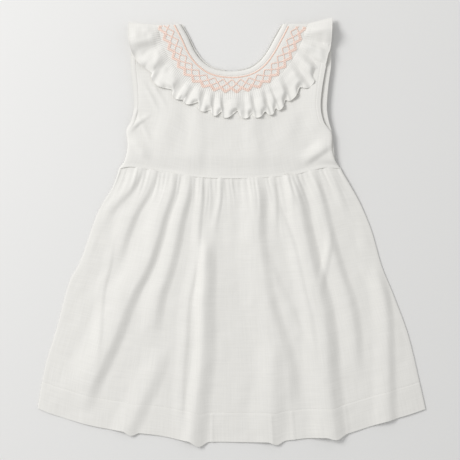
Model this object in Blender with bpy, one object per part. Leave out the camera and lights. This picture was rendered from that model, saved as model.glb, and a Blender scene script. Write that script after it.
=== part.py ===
"""Toddler's sleeveless dress, laid flat on its back with the front up.

A round neck carries a smocked band with a ruffle falling from it, all round.
A plain bodice closes at the centre back with three buttons, and a gathered
A-line skirt hangs from the waist seam in soft, uneven folds.

Sizes and tables are in millimetres and are turned to metres as each mesh is
made.  +X is the viewer's right, +Y points to the neck, +Z is up from the
surface that the dress lies on.  Left and right are the viewer's.
"""
from collections import namedtuple
from math import cos, pi, sin, sqrt

import bmesh
import bpy
import numpy as np
from mathutils import Vector

MM = 0.001

# Cloth and clearances.
CLOTH = 1.1
GAP = 0.3
SEAM_GAP = 0.6
LAYER = CLOTH + GAP
PLEATED = 2.2

# Heights of the layers at the neck, from the surface up.
BACK_LIFT = PLEATED + GAP
FOLD_MIDDLE = (BACK_LIFT + 3 * LAYER + PLEATED) / 2
LIFT_START = 76.0
LIFT_LENGTH = 22.0

# Neck and collar.
BINDING_WIDTH = 6.0
BINDING_ROLL = 1.4
BODICE_EDGE = 3.0
SHOULDER_ROLL = 0.5
RUFFLE_RETREAT = 0.11
RUFFLE_LEAN = 0.05
BACK_RUFFLE_FOLDS = 7
BACK_OPENING = 8.0

# Columns of cloth along the waist seam.  Both backs reach one column past the
# middle, so that they lap.
SEAM_COLUMNS = 24
LAP = 1 / SEAM_COLUMNS

# Buttons of the centre back.
BUTTON_RADIUS = 5.0
BUTTON_THICK = 1.8
BUTTON_SIDES = 20
BUTTON_ROWS = [184.0, 148.0, 112.0]

# Skirt.
SIDE_LIFT = 1.5
FRONT_GATHERS = SEAM_COLUMNS
BACK_GATHERS = SEAM_COLUMNS // 2
GATHER_HEIGHT = 1.1
GATHER_REACH = 0.16
BACK_HEM_SHORTER = 2.5

CollarRow = namedtuple("CollarRow", "neck_x neck_y band_x band_y edge_x edge_y")
OutlineRow = namedtuple("OutlineRow", "x y")
RuffleFold = namedtuple("RuffleFold", "at_band at_edge height")
SkirtFold = namedtuple("SkirtFold", "waist middle hem start end height rise fall")
BodiceFold = namedtuple("BodiceFold", "from_x from_y to_x to_y height rise fall")
HemDip = namedtuple("HemDip", "place width drop")

# Neck edge, outer edge of the smocked band and mean free edge of the ruffle,
# from the left shoulder fold to the right one.
COLLAR = [
    CollarRow(-64.0, 260.0, -92.0, 259.0, -128.0, 262.0),
    CollarRow(-55.5, 245.0, -85.5, 234.0, -126.5, 232.0),
    CollarRow(-47.0, 227.0, -74.5, 212.5, -110.0, 204.0),
    CollarRow(-36.0, 213.0, -59.5, 196.5, -87.0, 179.0),
    CollarRow(-21.5, 204.0, -38.0, 182.5, -57.0, 161.0),
    CollarRow(-0.5, 201.0, -4.0, 174.0, -12.0, 144.0),
    CollarRow(20.5, 204.0, 34.5, 180.5, 46.0, 146.0),
    CollarRow(35.0, 213.0, 57.0, 195.0, 77.0, 167.5),
    CollarRow(46.0, 227.0, 73.0, 212.5, 104.5, 189.0),
    CollarRow(55.5, 244.0, 84.5, 232.5, 121.0, 222.0),
    CollarRow(64.5, 260.0, 94.5, 260.5, 125.5, 268.0),
]

# Crests of the ruffle: where each leaves the band and where it meets the free
# edge, counted in collar rows, and how high it stands.
RUFFLE_FOLDS = [
    RuffleFold(0.40, 0.55, 8.0),
    RuffleFold(1.30, 1.95, 9.0),
    RuffleFold(2.20, 2.80, 7.0),
    RuffleFold(2.85, 3.40, 8.0),
    RuffleFold(3.35, 3.85, 6.0),
    RuffleFold(3.75, 4.30, 9.0),
    RuffleFold(4.30, 4.72, 8.0),
    RuffleFold(4.72, 5.05, 6.0),
    RuffleFold(5.10, 5.35, 9.0),
    RuffleFold(5.48, 5.62, 7.0),
    RuffleFold(5.80, 5.88, 9.0),
    RuffleFold(6.12, 6.15, 8.0),
    RuffleFold(6.50, 6.50, 8.0),
    RuffleFold(6.88, 6.86, 6.0),
    RuffleFold(7.32, 7.35, 9.0),
    RuffleFold(7.76, 7.78, 6.0),
    RuffleFold(8.12, 8.15, 7.0),
    RuffleFold(8.52, 8.50, 8.0),
    RuffleFold(8.98, 8.92, 6.0),
    RuffleFold(9.55, 9.50, 7.0),
]

# Waist seam of the front, from the left side seam to the right one.
WAIST = [
    OutlineRow(-139.5, 80.5),
    OutlineRow(-126.0, 82.5),
    OutlineRow(-108.0, 80.0),
    OutlineRow(-83.0, 75.0),
    OutlineRow(-39.5, 69.5),
    OutlineRow(0.0, 68.0),
    OutlineRow(36.0, 69.0),
    OutlineRow(73.0, 72.0),
    OutlineRow(98.0, 77.5),
    OutlineRow(117.0, 81.5),
    OutlineRow(135.5, 80.5),
]

# Side edges of the bodice, from the waist up past the underarm to the shoulder.
BODICE_LEFT = [
    OutlineRow(-139.5, 80.5),
    OutlineRow(-132.5, 91.5),
    OutlineRow(-129.0, 110.0),
    OutlineRow(-130.5, 127.5),
    OutlineRow(-124.5, 140.0),
    OutlineRow(-121.5, 158.0),
    OutlineRow(-122.5, 182.0),
    OutlineRow(-125.5, 212.0),
    OutlineRow(-122.5, 232.0),
    OutlineRow(-115.0, 249.0),
]
BODICE_RIGHT = [
    OutlineRow(135.5, 80.5),
    OutlineRow(128.0, 91.5),
    OutlineRow(124.5, 106.0),
    OutlineRow(124.0, 124.0),
    OutlineRow(114.5, 138.0),
    OutlineRow(110.5, 158.0),
    OutlineRow(113.0, 184.0),
    OutlineRow(118.0, 212.0),
    OutlineRow(120.5, 233.0),
    OutlineRow(115.0, 249.0),
]
BACK_RIGHT = [
    OutlineRow(135.5, 80.5),
    OutlineRow(129.0, 91.5),
    OutlineRow(127.0, 106.0),
    OutlineRow(125.0, 124.0),
    OutlineRow(120.5, 141.0),
    OutlineRow(118.5, 158.0),
    OutlineRow(120.5, 184.0),
    OutlineRow(124.0, 212.0),
    OutlineRow(122.5, 233.0),
    OutlineRow(115.0, 249.0),
]

# Side edges of the skirt, from the waist down to the hem.
SKIRT_LEFT = [
    OutlineRow(-139.5, 80.5),
    OutlineRow(-149.0, 56.0),
    OutlineRow(-167.0, 25.0),
    OutlineRow(-187.0, -31.0),
    OutlineRow(-203.0, -63.0),
    OutlineRow(-217.0, -115.0),
    OutlineRow(-232.0, -165.0),
    OutlineRow(-242.0, -218.0),
]
SKIRT_RIGHT = [
    OutlineRow(135.5, 80.5),
    OutlineRow(149.0, 58.0),
    OutlineRow(162.0, 34.0),
    OutlineRow(175.0, 2.0),
    OutlineRow(187.0, -40.0),
    OutlineRow(204.0, -82.0),
    OutlineRow(222.0, -133.0),
    OutlineRow(242.0, -219.0),
]
HEM = [
    OutlineRow(-242.0, -218.0),
    OutlineRow(-222.0, -226.0),
    OutlineRow(-178.0, -239.0),
    OutlineRow(-133.0, -247.0),
    OutlineRow(-90.0, -252.0),
    OutlineRow(-52.0, -259.0),
    OutlineRow(0.0, -260.0),
    OutlineRow(50.0, -260.0),
    OutlineRow(92.0, -255.5),
    OutlineRow(135.0, -252.0),
    OutlineRow(186.0, -236.5),
    OutlineRow(218.0, -227.0),
    OutlineRow(242.0, -219.0),
]

# Folds of the front of the skirt.  waist, middle and hem place the crest as a
# share of the width; start and end are shares of the length; rise is the
# gentle slope on the left of the crest and fall the steep one on its right.
SKIRT_FOLDS = [
    SkirtFold(0.085, 0.045, 0.030, -0.10, 0.24, 2.5, 0.050, 0.030),
    SkirtFold(0.155, 0.125, 0.110, -0.10, 0.38, 3.0, 0.050, 0.030),
    SkirtFold(0.255, 0.200, 0.145, -0.05, 0.96, 7.0, 0.075, 0.034),
    SkirtFold(0.312, 0.303, 0.275, -0.05, 0.70, 5.0, 0.050, 0.030),
    SkirtFold(0.370, 0.378, 0.370, -0.05, 1.05, 2.0, 0.045, 0.025),
    SkirtFold(0.410, 0.414, 0.402, 0.22, 1.20, 6.5, 0.040, 0.034),
    SkirtFold(0.425, 0.425, 0.425, 0.15, 0.72, 3.0, 0.050, 0.095),
    SkirtFold(0.498, 0.505, 0.500, -0.10, 0.36, 3.0, 0.045, 0.020),
    SkirtFold(0.605, 0.615, 0.630, -0.05, 1.20, 5.0, 0.075, 0.034),
    SkirtFold(0.765, 0.768, 0.762, -0.05, 1.20, 9.0, 0.085, 0.038),
    SkirtFold(0.860, 0.858, 0.845, -0.05, 0.82, 4.5, 0.045, 0.030),
    SkirtFold(0.975, 0.950, 0.895, 0.20, 1.20, 5.5, 0.060, 0.028),
    SkirtFold(0.320, 0.310, 0.235, 0.70, 1.20, 5.0, 0.065, 0.032),
]
FOLD_FADE_IN = 0.16
FOLD_FADE_OUT = 0.20

# Short dips of the hem where a fold runs out over its edge.
HEM_DIPS = [
    HemDip(0.235, 0.014, 5.0),
    HemDip(0.420, 0.020, 7.0),
    HemDip(0.622, 0.016, 5.0),
    HemDip(0.785, 0.024, 4.5),
]

# Creases that run in from the underarms.
BODICE_FOLDS = [
    BodiceFold(-129.0, 122.0, -100.0, 90.0, 1.6, 14.0, 9.0),
    BodiceFold(128.0, 116.0, 84.0, 88.0, 3.0, 16.0, 10.0),
]


def ease(x):
    """Rise smoothly from 0 at x = 0 to 1 at x = 1."""
    x = min(max(x, 0.0), 1.0)
    return x * x * (3 - 2 * x)


def between(a, b, share):
    """Return the point a share of the way from a to b."""
    return a + (b - a) * share


def smooth(rows, share):
    """Return the point a share of the way along a smooth line through rows."""
    place = min(max(share, 0.0), 1.0) * (len(rows) - 1)
    i = min(int(place), len(rows) - 2)
    f = place - i
    here, there = Vector(rows[i]), Vector(rows[i + 1])
    before = Vector(rows[i - 1]) if i > 0 else 2 * here - there
    after = Vector(rows[i + 2]) if i + 2 < len(rows) else 2 * there - here
    slope = (there - before) * f
    bend = (2 * before - 5 * here + 4 * there - after) * f ** 2
    twist = (3 * here - before - 3 * there + after) * f ** 3
    return 0.5 * (2 * here + slope + bend + twist)


def outline(rows, samples=160):
    """Return a function that gives the point at a share of the rows' length."""
    line = [smooth(rows, i / samples) for i in range(samples + 1)]
    steps = [(b - a).length for a, b in zip(line, line[1:])]
    lengths = np.concatenate(([0.0], np.cumsum(steps))) / sum(steps)
    xs = [p.x for p in line]
    ys = [p.y for p in line]
    return lambda share: Vector((np.interp(share, lengths, xs), np.interp(share, lengths, ys)))


def chords(line, steps):
    """Return a line made of straight steps between points of another."""
    shares = spread(0.0, 1.0, steps)
    xs = [line(share).x for share in shares]
    ys = [line(share).y for share in shares]
    return lambda share: Vector((np.interp(share, shares, xs), np.interp(share, shares, ys)))


def patch(first, last, left, right):
    """Return a function that fills four meeting outlines with a smooth grid."""
    def point(u, v):
        ends = between(first(u), last(u), v) + between(left(v), right(v), u)
        corners = between(between(first(0), first(1), u), between(last(0), last(1), u), v)
        return ends - corners
    return point


def bump(distance, rise, fall):
    """Return a crest's height from 0 to 1, gentle before it and steep after."""
    return ease(1 + distance / rise) if distance < 0 else ease(1 - distance / fall)


def spread(start, end, steps):
    """Return steps + 1 even values from start to end."""
    return [start + (end - start) * i / steps for i in range(steps + 1)]


def make_object(name, mesh, colour, roughness):
    """Put a mesh in the scene with a matt material of its own."""
    material = bpy.data.materials.new(name)
    material.use_nodes = True
    shader = material.node_tree.nodes["Principled BSDF"]
    shader.inputs["Base Color"].default_value = (*colour, 1.0)
    shader.inputs["Roughness"].default_value = roughness
    shader.inputs["Metallic"].default_value = 0.0
    mesh.materials.append(material)
    mesh.shade_smooth()
    piece = bpy.data.objects.new(name, mesh)
    bpy.context.collection.objects.link(piece)
    return piece


def panel(name, us, vs, point, wall=CLOTH, facing=1):
    """Make a cloth panel: a grid of its underside points, thickened outward.

    point(u, v) gives x, y, z in millimetres, and facing is 1 where u, v and
    the cloth's outer side make a right-handed set.
    """
    mesh = bpy.data.meshes.new(name)
    bm = bmesh.new()
    grid = [[bm.verts.new(Vector(point(u, v)) * MM) for v in vs] for u in us]
    for i in range(len(us) - 1):
        for j in range(len(vs) - 1):
            corners = [grid[i][j], grid[i + 1][j], grid[i + 1][j + 1], grid[i][j + 1]]
            bm.faces.new(corners[::facing])
    bm.normal_update()
    bm.to_mesh(mesh)
    bm.free()
    piece = make_object(name, mesh, (0.90, 0.89, 0.86), 0.9)
    thicken = piece.modifiers.new("Cloth wall", "SOLIDIFY")
    thicken.thickness = wall * MM
    thicken.offset = 1.0
    thicken.use_quality_normals = True
    return piece


def back_height(y):
    """Height of the back bodice, which climbs onto the collar under it."""
    return BACK_LIFT * ease((y - LIFT_START) / LIFT_LENGTH)


def front_height(y):
    """Height of the front bodice, above both laps of the back."""
    return back_height(y) + 2 * LAYER


def collar_point(which, place, side="front"):
    """Return the neck, band or edge point at a place counted in collar rows.

    The back collar follows the front one at the shoulders, and its two halves
    are alike where they meet the centre back opening.
    """
    rows = [(getattr(row, which + "_x"), getattr(row, which + "_y")) for row in COLLAR]
    last = len(COLLAR) - 1
    point = smooth(rows, place / last)
    if side == "front":
        return point
    other = smooth(rows, 1 - place / last)
    even = Vector(((point.x - other.x) / 2, (point.y + other.y) / 2))
    return between(point, even, ease(2 - abs(2 * place / last - 1) * 2))


def shoulder_turn(place, reach):
    """Return 1 on the flat collar, falling to 0 round the shoulder fold."""
    last = len(COLLAR) - 1
    distance = min(place, last - place) / reach
    if distance >= 1:
        return 1.0
    return sqrt(max(0.0, 1 - (1 - distance) ** 2))


def over_shoulder(height, place, reach=SHOULDER_ROLL):
    """Turn a flat height down, or up, to the middle of the shoulder fold."""
    return between(FOLD_MIDDLE, height, shoulder_turn(place, reach))


def collar_places(start, end, steps):
    """Return places along the collar, closer together round a shoulder fold."""
    places = spread(start, end, steps)
    turns = [SHOULDER_ROLL * (1 - sin(pi / 2 * i / 3)) for i in range(1, 4)]
    last = len(COLLAR) - 1
    if start == 0:
        places = [p for p in places if p > SHOULDER_ROLL] + [SHOULDER_ROLL] + turns
    if end == last:
        places = [p for p in places if p < last - SHOULDER_ROLL]
        places += [last - SHOULDER_ROLL] + [last - turn for turn in turns]
    return sorted(places)


def binding_point(place, across, side):
    """Point of the neck binding: across runs from the bodice side to the neck."""
    neck = collar_point("neck", place, side)
    outward = (collar_point("band", place, side) - neck).normalized()
    point = neck + outward * BINDING_WIDTH * across
    roll = BINDING_ROLL * (1 - ease(across * BINDING_WIDTH / 2))
    if side == "front":
        flat = front_height(neck.y) + LAYER - roll
    else:
        flat = PLEATED + roll
    return point.x, point.y, over_shoulder(flat, place)


def band_point(place, across, side):
    """Point of the smocked band, between the binding and the ruffle."""
    neck = collar_point("neck", place, side)
    edge = collar_point("band", place, side)
    outward = (edge - neck).normalized()
    start = neck + outward * (BINDING_WIDTH + SEAM_GAP)
    point = between(start, edge - outward * SEAM_GAP, across)
    flat = front_height(point.y) + LAYER if side == "front" else PLEATED
    return point.x, point.y, over_shoulder(flat, place)


def ruffle_place(count, across):
    """Place along the collar of a fold count: whole counts are crests."""
    last = len(COLLAR) - 1
    counts = [-0.5] + list(range(len(RUFFLE_FOLDS))) + [len(RUFFLE_FOLDS) - 0.5]
    at_band = [0.0] + [fold.at_band for fold in RUFFLE_FOLDS] + [last]
    at_edge = [0.0] + [fold.at_edge for fold in RUFFLE_FOLDS] + [last]
    return between(np.interp(count, counts, at_band), np.interp(count, counts, at_edge), across)


def ruffle_front_point(count, across):
    """Point of the front ruffle, whose folds grow towards its free edge."""
    heights = [fold.height for fold in RUFFLE_FOLDS]
    wave = (1 + cos(2 * pi * count)) / 2
    place = ruffle_place(count + RUFFLE_LEAN * sin(4 * pi * count) * across, across)
    point = between(collar_point("band", place), collar_point("edge", place),
                    across * (1 - RUFFLE_RETREAT * wave))
    height = np.interp(count, range(len(heights)), heights) * wave * ease(0.15 + 0.85 * across)
    flat = front_height(point.y) + LAYER + height
    return point.x, point.y, over_shoulder(flat, place, SHOULDER_ROLL * (1 - 0.3 * across))


def ruffle_back_point(count, across, start, end):
    """Point of the back ruffle, pressed flat by the dress that lies on it."""
    place = between(start, end, count / BACK_RUFFLE_FOLDS)
    point = between(collar_point("band", place, "back"), collar_point("edge", place, "back"), across)
    wave = (1 - cos(2 * pi * count)) / 2 * across
    flat = CLOTH + (PLEATED - CLOTH) * wave
    return point.x, point.y, over_shoulder(flat, place, SHOULDER_ROLL * (1 - 0.3 * across))


def make_collar():
    """Make the binding, smocked band and ruffle, in front and at the back."""
    last = len(COLLAR) - 1
    middle = last // 2
    opening = BACK_OPENING / (COLLAR[middle].neck_x - COLLAR[middle - 1].neck_x)
    tiny = 0.012
    places = collar_places(0, last, 44)
    places[0], places[-1] = tiny, last - tiny
    panel("neck_binding_front", places, [0.0, 0.25, 1.0],
          lambda s, t: binding_point(s, t, "front"), PLEATED, -1)
    panel("smocked_band_front", places, [0.0, 0.5, 1.0],
          lambda s, t: band_point(s, t, "front"), PLEATED, -1)
    folds = len(RUFFLE_FOLDS)
    counts = spread(-0.5, folds - 0.5, folds * 6)
    panel("ruffle_front", counts, spread(0.02, 1.0, 4), ruffle_front_point, CLOTH, -1)
    sides = {"left": (0, middle - opening), "right": (middle + opening, last)}
    for side, (start, end) in sides.items():
        places = collar_places(start, end, 16)
        if side == "left":
            places[0] = tiny
        else:
            places[-1] = last - tiny
        panel("neck_binding_back_" + side, places, [0.0, 0.25, 1.0],
              lambda s, t: binding_point(s, t, "back"), PLEATED, 1)
        panel("smocked_band_back_" + side, places, [0.0, 0.5, 1.0],
              lambda s, t: band_point(s, t, "back"), PLEATED, 1)
        counts = spread(0, BACK_RUFFLE_FOLDS, BACK_RUFFLE_FOLDS * 4)
        panel("ruffle_back_" + side, counts, spread(0.02, 1.0, 2),
              lambda n, t: ruffle_back_point(n, t, places[0], places[-1]), CLOTH, 1)


def bodice_top(left, right):
    """Return the top outline between two shoulder points, round the neck."""
    last = len(COLLAR) - 1
    rows = [left]
    for i in range(last + 1):
        neck = collar_point("neck", i)
        outward = (collar_point("band", i) - neck).normalized()
        rows.append(neck + outward * BODICE_EDGE)
    rows[1].y = left.y
    rows[-1].y = right.y
    rows.append(right)
    return rows


def crease_height(x, y):
    """Height that the underarm creases add at a point of the bodice."""
    total = 0.0
    for fold in BODICE_FOLDS:
        start = Vector((fold.from_x, fold.from_y))
        run = Vector((fold.to_x, fold.to_y)) - start
        offset = Vector((x, y)) - start
        share = offset.dot(run) / run.length_squared
        side = (offset.x * run.y - offset.y * run.x) / run.length
        side = -side if run.x < 0 else side
        total += fold.height * bump(side, fold.rise, fold.fall) * ease(2 - 2 * abs(2 * share - 1))
    return total


def make_bodice():
    """Make the bodice front and the two backs that lap at the centre back."""
    waist = chords(outline(WAIST), SEAM_COLUMNS)
    left, right = outline(BODICE_LEFT), outline(BODICE_RIGHT)
    front = patch(waist, outline(bodice_top(left(1), right(1))), left, right)
    right = outline(BACK_RIGHT)
    back = patch(waist, outline(bodice_top(left(1), right(1))), left, right)
    middle = 0.5
    lap_end = middle + LAP

    def front_point(u, v):
        x, y = front(u, v)
        return x, y, front_height(y) + crease_height(x, y)

    def left_point(u, v):
        x, y = back(u, v)
        return x, y, back_height(y)

    def right_point(u, v):
        x, y = back(u, v)
        return x, y, back_height(y) + LAYER * ease((lap_end + LAP - u) / LAP)

    half = SEAM_COLUMNS // 2 + 1
    neck_columns = [(count + 0.5) * LAP for count in (5, 6, 7, 16, 17, 18)]
    ups = [0.0, 0.06, 0.12, 0.18, 0.25] + spread(0.36, 1.0, 5)
    panel("bodice_front", sorted(spread(0.0, 1.0, SEAM_COLUMNS) + neck_columns), ups, front_point)
    panel("bodice_back_left", spread(0.0, lap_end, half), ups, left_point)
    panel("bodice_back_right", spread(middle - LAP, 1.0, half), ups, right_point)


def fold_height(u, v):
    """Height that the folds add at a share across and down the skirt."""
    total = 0.0
    for fold in SKIRT_FOLDS:
        crest = smooth([(fold.waist, 0), (fold.middle, 0), (fold.hem, 0)], v).x
        reach = ease((v - fold.start) / FOLD_FADE_IN) * ease((fold.end - v) / FOLD_FADE_OUT)
        total += fold.height * reach * bump(u - crest, fold.rise, fold.fall)
    return total


def gather_height(u, v, gathers):
    """Height of the gathers under the waist seam, which die away down the skirt."""
    return GATHER_HEIGHT * (1 + cos(2 * pi * gathers * u)) * ease(1 - v / GATHER_REACH)


def make_skirt():
    """Make the two skirt panels, the back flat and the front folded on it."""
    waist = chords(outline(WAIST), SEAM_COLUMNS)
    plan = patch(waist, outline(HEM), outline(SKIRT_LEFT), outline(SKIRT_RIGHT))
    front_downs = [0.0, 0.06, 0.12, 0.2] + spread(0.3, 1.0, 7)
    back_downs = [0.0, 0.06, 0.14] + spread(0.25, 1.0, 4)

    def front_point(u, v):
        x, y = plan(u, v)
        dips = sum(dip.drop * bump(u - dip.place, dip.width, dip.width) for dip in HEM_DIPS)
        level = between(2 * LAYER, SIDE_LIFT, ease(v / 0.3))
        return x, y - SEAM_GAP - dips * v ** 8, level + fold_height(u, v) + gather_height(u, v, FRONT_GATHERS)

    def back_point(u, v):
        x, y = plan(u, v)
        gathers = gather_height(u, v, BACK_GATHERS) / 2
        return x, y - SEAM_GAP + BACK_HEM_SHORTER * v ** 4, gathers

    panel("skirt_front", spread(0.0, 1.0, 2 * FRONT_GATHERS), front_downs, front_point, CLOTH, -1)
    panel("skirt_back", spread(0.0, 1.0, 2 * BACK_GATHERS), back_downs, back_point, CLOTH, -1)


def make_buttons():
    """Make the flat buttons that close the centre back, under the dress."""
    for number, y in enumerate(BUTTON_ROWS, 1):
        name = "button_%d" % number
        mesh = bpy.data.meshes.new(name)
        bm = bmesh.new()
        bmesh.ops.create_cone(bm, cap_ends=True, segments=BUTTON_SIDES, radius1=BUTTON_RADIUS * MM,
                              radius2=BUTTON_RADIUS * MM, depth=BUTTON_THICK * MM)
        bm.to_mesh(mesh)
        bm.free()
        piece = make_object(name, mesh, (0.93, 0.92, 0.88), 0.3)
        piece.location = Vector((0.0, y, GAP + BUTTON_THICK / 2)) * MM


def centre_on_floor():
    """Hang every piece on one empty that centres the dress on the origin."""
    bpy.context.view_layer.update()
    corners = []
    depsgraph = bpy.context.evaluated_depsgraph_get()
    pieces = list(bpy.context.scene.objects)
    for piece in pieces:
        shape = piece.evaluated_get(depsgraph)
        corners += [shape.matrix_world @ Vector(corner) for corner in shape.bound_box]
    dress = bpy.data.objects.new("dress", None)
    bpy.context.collection.objects.link(dress)
    for axis in (0, 1):
        values = [corner[axis] for corner in corners]
        dress.location[axis] = -(min(values) + max(values)) / 2
    for piece in pieces:
        piece.parent = dress


for old in list(bpy.data.objects):
    bpy.data.objects.remove(old)
make_skirt()
make_bodice()
make_collar()
make_buttons()
centre_on_floor()
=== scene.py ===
# %% [markdown]
# # A toddler's smocked dress, laid flat
# The dress lies on its back on a pale table.  Nearly everything that shows is thin
# white cotton, so almost every piece is a sheet: a grid of points that a short
# function places, thickened a little.  A cloth simulation could drape it, but a
# pressed dress keeps each fold where it was pressed, so tables of folds place them.
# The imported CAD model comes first, because it says where each piece lies and how
# much room it has.

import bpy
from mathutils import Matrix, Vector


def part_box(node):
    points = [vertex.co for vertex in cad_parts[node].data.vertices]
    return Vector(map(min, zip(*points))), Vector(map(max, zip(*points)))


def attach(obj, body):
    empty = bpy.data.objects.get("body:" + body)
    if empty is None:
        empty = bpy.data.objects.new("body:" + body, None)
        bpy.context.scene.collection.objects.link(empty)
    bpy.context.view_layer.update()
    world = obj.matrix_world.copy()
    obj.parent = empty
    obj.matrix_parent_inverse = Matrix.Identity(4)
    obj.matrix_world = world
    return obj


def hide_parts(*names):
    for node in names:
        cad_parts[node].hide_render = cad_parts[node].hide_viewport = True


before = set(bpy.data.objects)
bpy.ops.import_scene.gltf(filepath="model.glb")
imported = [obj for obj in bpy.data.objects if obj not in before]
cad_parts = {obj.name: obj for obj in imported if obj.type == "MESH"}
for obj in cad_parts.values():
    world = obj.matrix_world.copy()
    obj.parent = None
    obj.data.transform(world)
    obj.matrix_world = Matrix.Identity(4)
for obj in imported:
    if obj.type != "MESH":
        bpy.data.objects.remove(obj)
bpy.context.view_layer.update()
print("the packed model has", len(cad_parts), "nodes")

# %% [markdown]
# The loader leaves the CAD nodes selected, and an operator works on all that is
# selected, so they are deselected before anything is made.  Sizes below are in
# millimetres, as on a pattern sheet.  The middle of the top button is known on the
# pattern sheet and in the model, so it ties the two together.

# %% Units, and where the pattern sheet lies in the model
from collections import namedtuple
from math import pi, radians

import bpy
import numpy as np
from mathutils import Vector

MM = 0.001
TOP_BUTTON = np.array([0.0, 184.0, 1.2])
bpy.ops.object.select_all(action="DESELECT")
low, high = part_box("button_1")
ORIGIN = (np.array(low) + np.array(high)) / 2 - TOP_BUTTON * MM
print("the pattern sheet's zero lies at", (ORIGIN / MM).round(2), "mm")

# %% [markdown]
# ## The camera
# A dress laid flat is seen from straight above.  A long lens keeps the collar,
# which stands nearer to it than the hem, from looking too large.

# %% Camera, straight down
VIEW_WIDTH = 0.575
VIEW_MIDDLE = (-0.0019, 0.0030)
camera_data = bpy.data.cameras.new("camera above")
camera_data.lens = 85.0
camera = bpy.data.objects.new("camera above", camera_data)
bpy.context.collection.objects.link(camera)
camera.location = (*VIEW_MIDDLE, VIEW_WIDTH * camera_data.lens / camera_data.sensor_width)
bpy.context.scene.camera = camera
print("the camera stands", round(camera.location.z, 3), "m above the table")

# %% [markdown]
# ## Lines and grids
# A pattern maker draws an outline through a few points.  `smooth` does that with a
# curve that passes through every row of a table, and `outline` measures off shares
# of its length.  Blender's own curve objects could do it too, but these work on
# whole arrays of shares at once, so that a fine grid takes no time.

# %% Curves through the rows of a table
def ease(x):
    x = np.clip(x, 0.0, 1.0)
    return x * x * (3 - 2 * x)


def between(a, b, share):
    return a + (b - a) * share


def smooth(rows, share):
    rows = np.array(rows, float)
    ends = np.vstack([2 * rows[0] - rows[1], rows, 2 * rows[-1] - rows[-2]])
    place = np.clip(share, 0, 1) * (len(rows) - 1)
    i = np.minimum(place.astype(int), len(rows) - 2)
    f = (place - i)[..., None]
    before, here, there, after = (ends[i + k] for k in range(4))
    slope = (there - before) * f
    bend = (2 * before - 5 * here + 4 * there - after) * f ** 2
    twist = (3 * here - before - 3 * there + after) * f ** 3
    return 0.5 * (2 * here + slope + bend + twist)


def outline(rows, samples=600):
    line = smooth(rows, np.linspace(0, 1, samples))
    steps = np.linalg.norm(np.diff(line, axis=0), axis=1)
    lengths = np.concatenate([[0], np.cumsum(steps)]) / steps.sum()
    return lambda share: np.stack([np.interp(share, lengths, line[:, k]) for k in (0, 1)], -1)


print("halfway up a slope, ease gives", ease(0.5))

# %% [markdown]
# `patch` stretches a grid between four outlines, which is how one panel is laid out
# inside its four seams: u counts across it from 0 to 1, and v from its first edge
# to its last.  `bump` is the section of one fold, with a side that rises and a side
# that falls.

# %% A grid between four seams, and the section of a fold
def patch(first, last, left, right):
    zero, one = np.array(0.0), np.array(1.0)

    def point(u, v):
        a, b = u[..., None], v[..., None]
        ends = between(first(u), last(u), b) + between(left(v), right(v), a)
        start, end = between(first(zero), first(one), a), between(last(zero), last(one), a)
        grid = ends - between(start, end, b)
        return grid[..., 0], grid[..., 1]
    return point


def bump(distance, rise, fall):
    return np.where(distance < 0, ease(1 + distance / rise), ease(1 - distance / fall))


print("a fold's top is", bump(np.array(0.0), 1.0, 1.0), "and its foot", bump(np.array(1.0), 1.0, 1.0))

# %% [markdown]
# Pressed cotton is never quite flat.  `rumple` gives a gentle unevenness of a
# chosen size: random heights on a coarse lattice, the same ones each time because
# they are seeded, joined by smooth slopes.

# %% Gentle unevenness
LATTICE = 64
LATTICE_START = 500.0


def rumple(x, y, size, seed):
    heights = np.random.default_rng(seed).uniform(-1, 1, (LATTICE, LATTICE))
    across, along = x / size + LATTICE_START, y / size + LATTICE_START
    i, j = np.floor(across).astype(int), np.floor(along).astype(int)
    share_i, share_j = ease(across - i), ease(along - j)
    next_i, next_j = (i + 1) % LATTICE, (j + 1) % LATTICE
    i, j = i % LATTICE, j % LATTICE
    near = between(heights[i, j], heights[next_i, j], share_i)
    far = between(heights[i, next_j], heights[next_i, next_j], share_i)
    return between(near, far, share_j)


print("one lattice holds", LATTICE * LATTICE, "heights")

# %% [markdown]
# ## Materials
# Each starts from what the real one is.  One function turns a written colour into
# the linear numbers that Blender mixes, one adds a node with its settings and its
# links, so that a material reads as a list of steps, and one makes a material of
# one even colour to start from.

# %% Helpers for materials
def linear(hex_colour):
    parts = [int(hex_colour[i:i + 2], 16) / 255 for i in (1, 3, 5)]
    return (*[c / 12.92 if c <= 0.04045 else ((c + 0.055) / 1.055) ** 2.4 for c in parts], 1.0)


def add(tree, kind, links, **settings):
    node = tree.nodes.new("ShaderNode" + kind)
    for name, value in settings.items():
        if hasattr(node, name):
            setattr(node, name, value)
        else:
            node.inputs[name.replace("_", " ")].default_value = value
    for socket, source in links.items():
        tree.links.new(source, node.inputs[socket])
    return node


def plain(name, colour, roughness):
    material = bpy.data.materials.new(name)
    material.use_nodes = True
    shader = material.node_tree.nodes["Principled BSDF"]
    shader.inputs["Base Color"].default_value = linear(colour)
    shader.inputs["Roughness"].default_value = roughness
    shader.inputs["Specular IOR Level"].default_value = 0.3
    return material, material.node_tree, shader


print("white is", linear("#FFFFFF")[:3], "in linear light")

# %% [markdown]
# The dress is a fine plain-woven cotton with a slight slub: some threads are
# thicker for a few centimetres, which shows as faint streaks along and across the
# cloth.  Its threads are 0.3 mm apart, too fine to show from here, so the weave is
# drawn 1.2 mm apart and very shallow.  Cotton reflects softly in all directions,
# with a faint fuzz, so it is rough and has a little sheen.  The patterns follow the
# cut cloth's own measure, which each sheet carries as a UV map in metres, so they
# run down into the gathers as a weave does.  Blender's wave texture has 20 / 2 pi
# waves to a unit at scale 1, and the scale is worked out from that.

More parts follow.
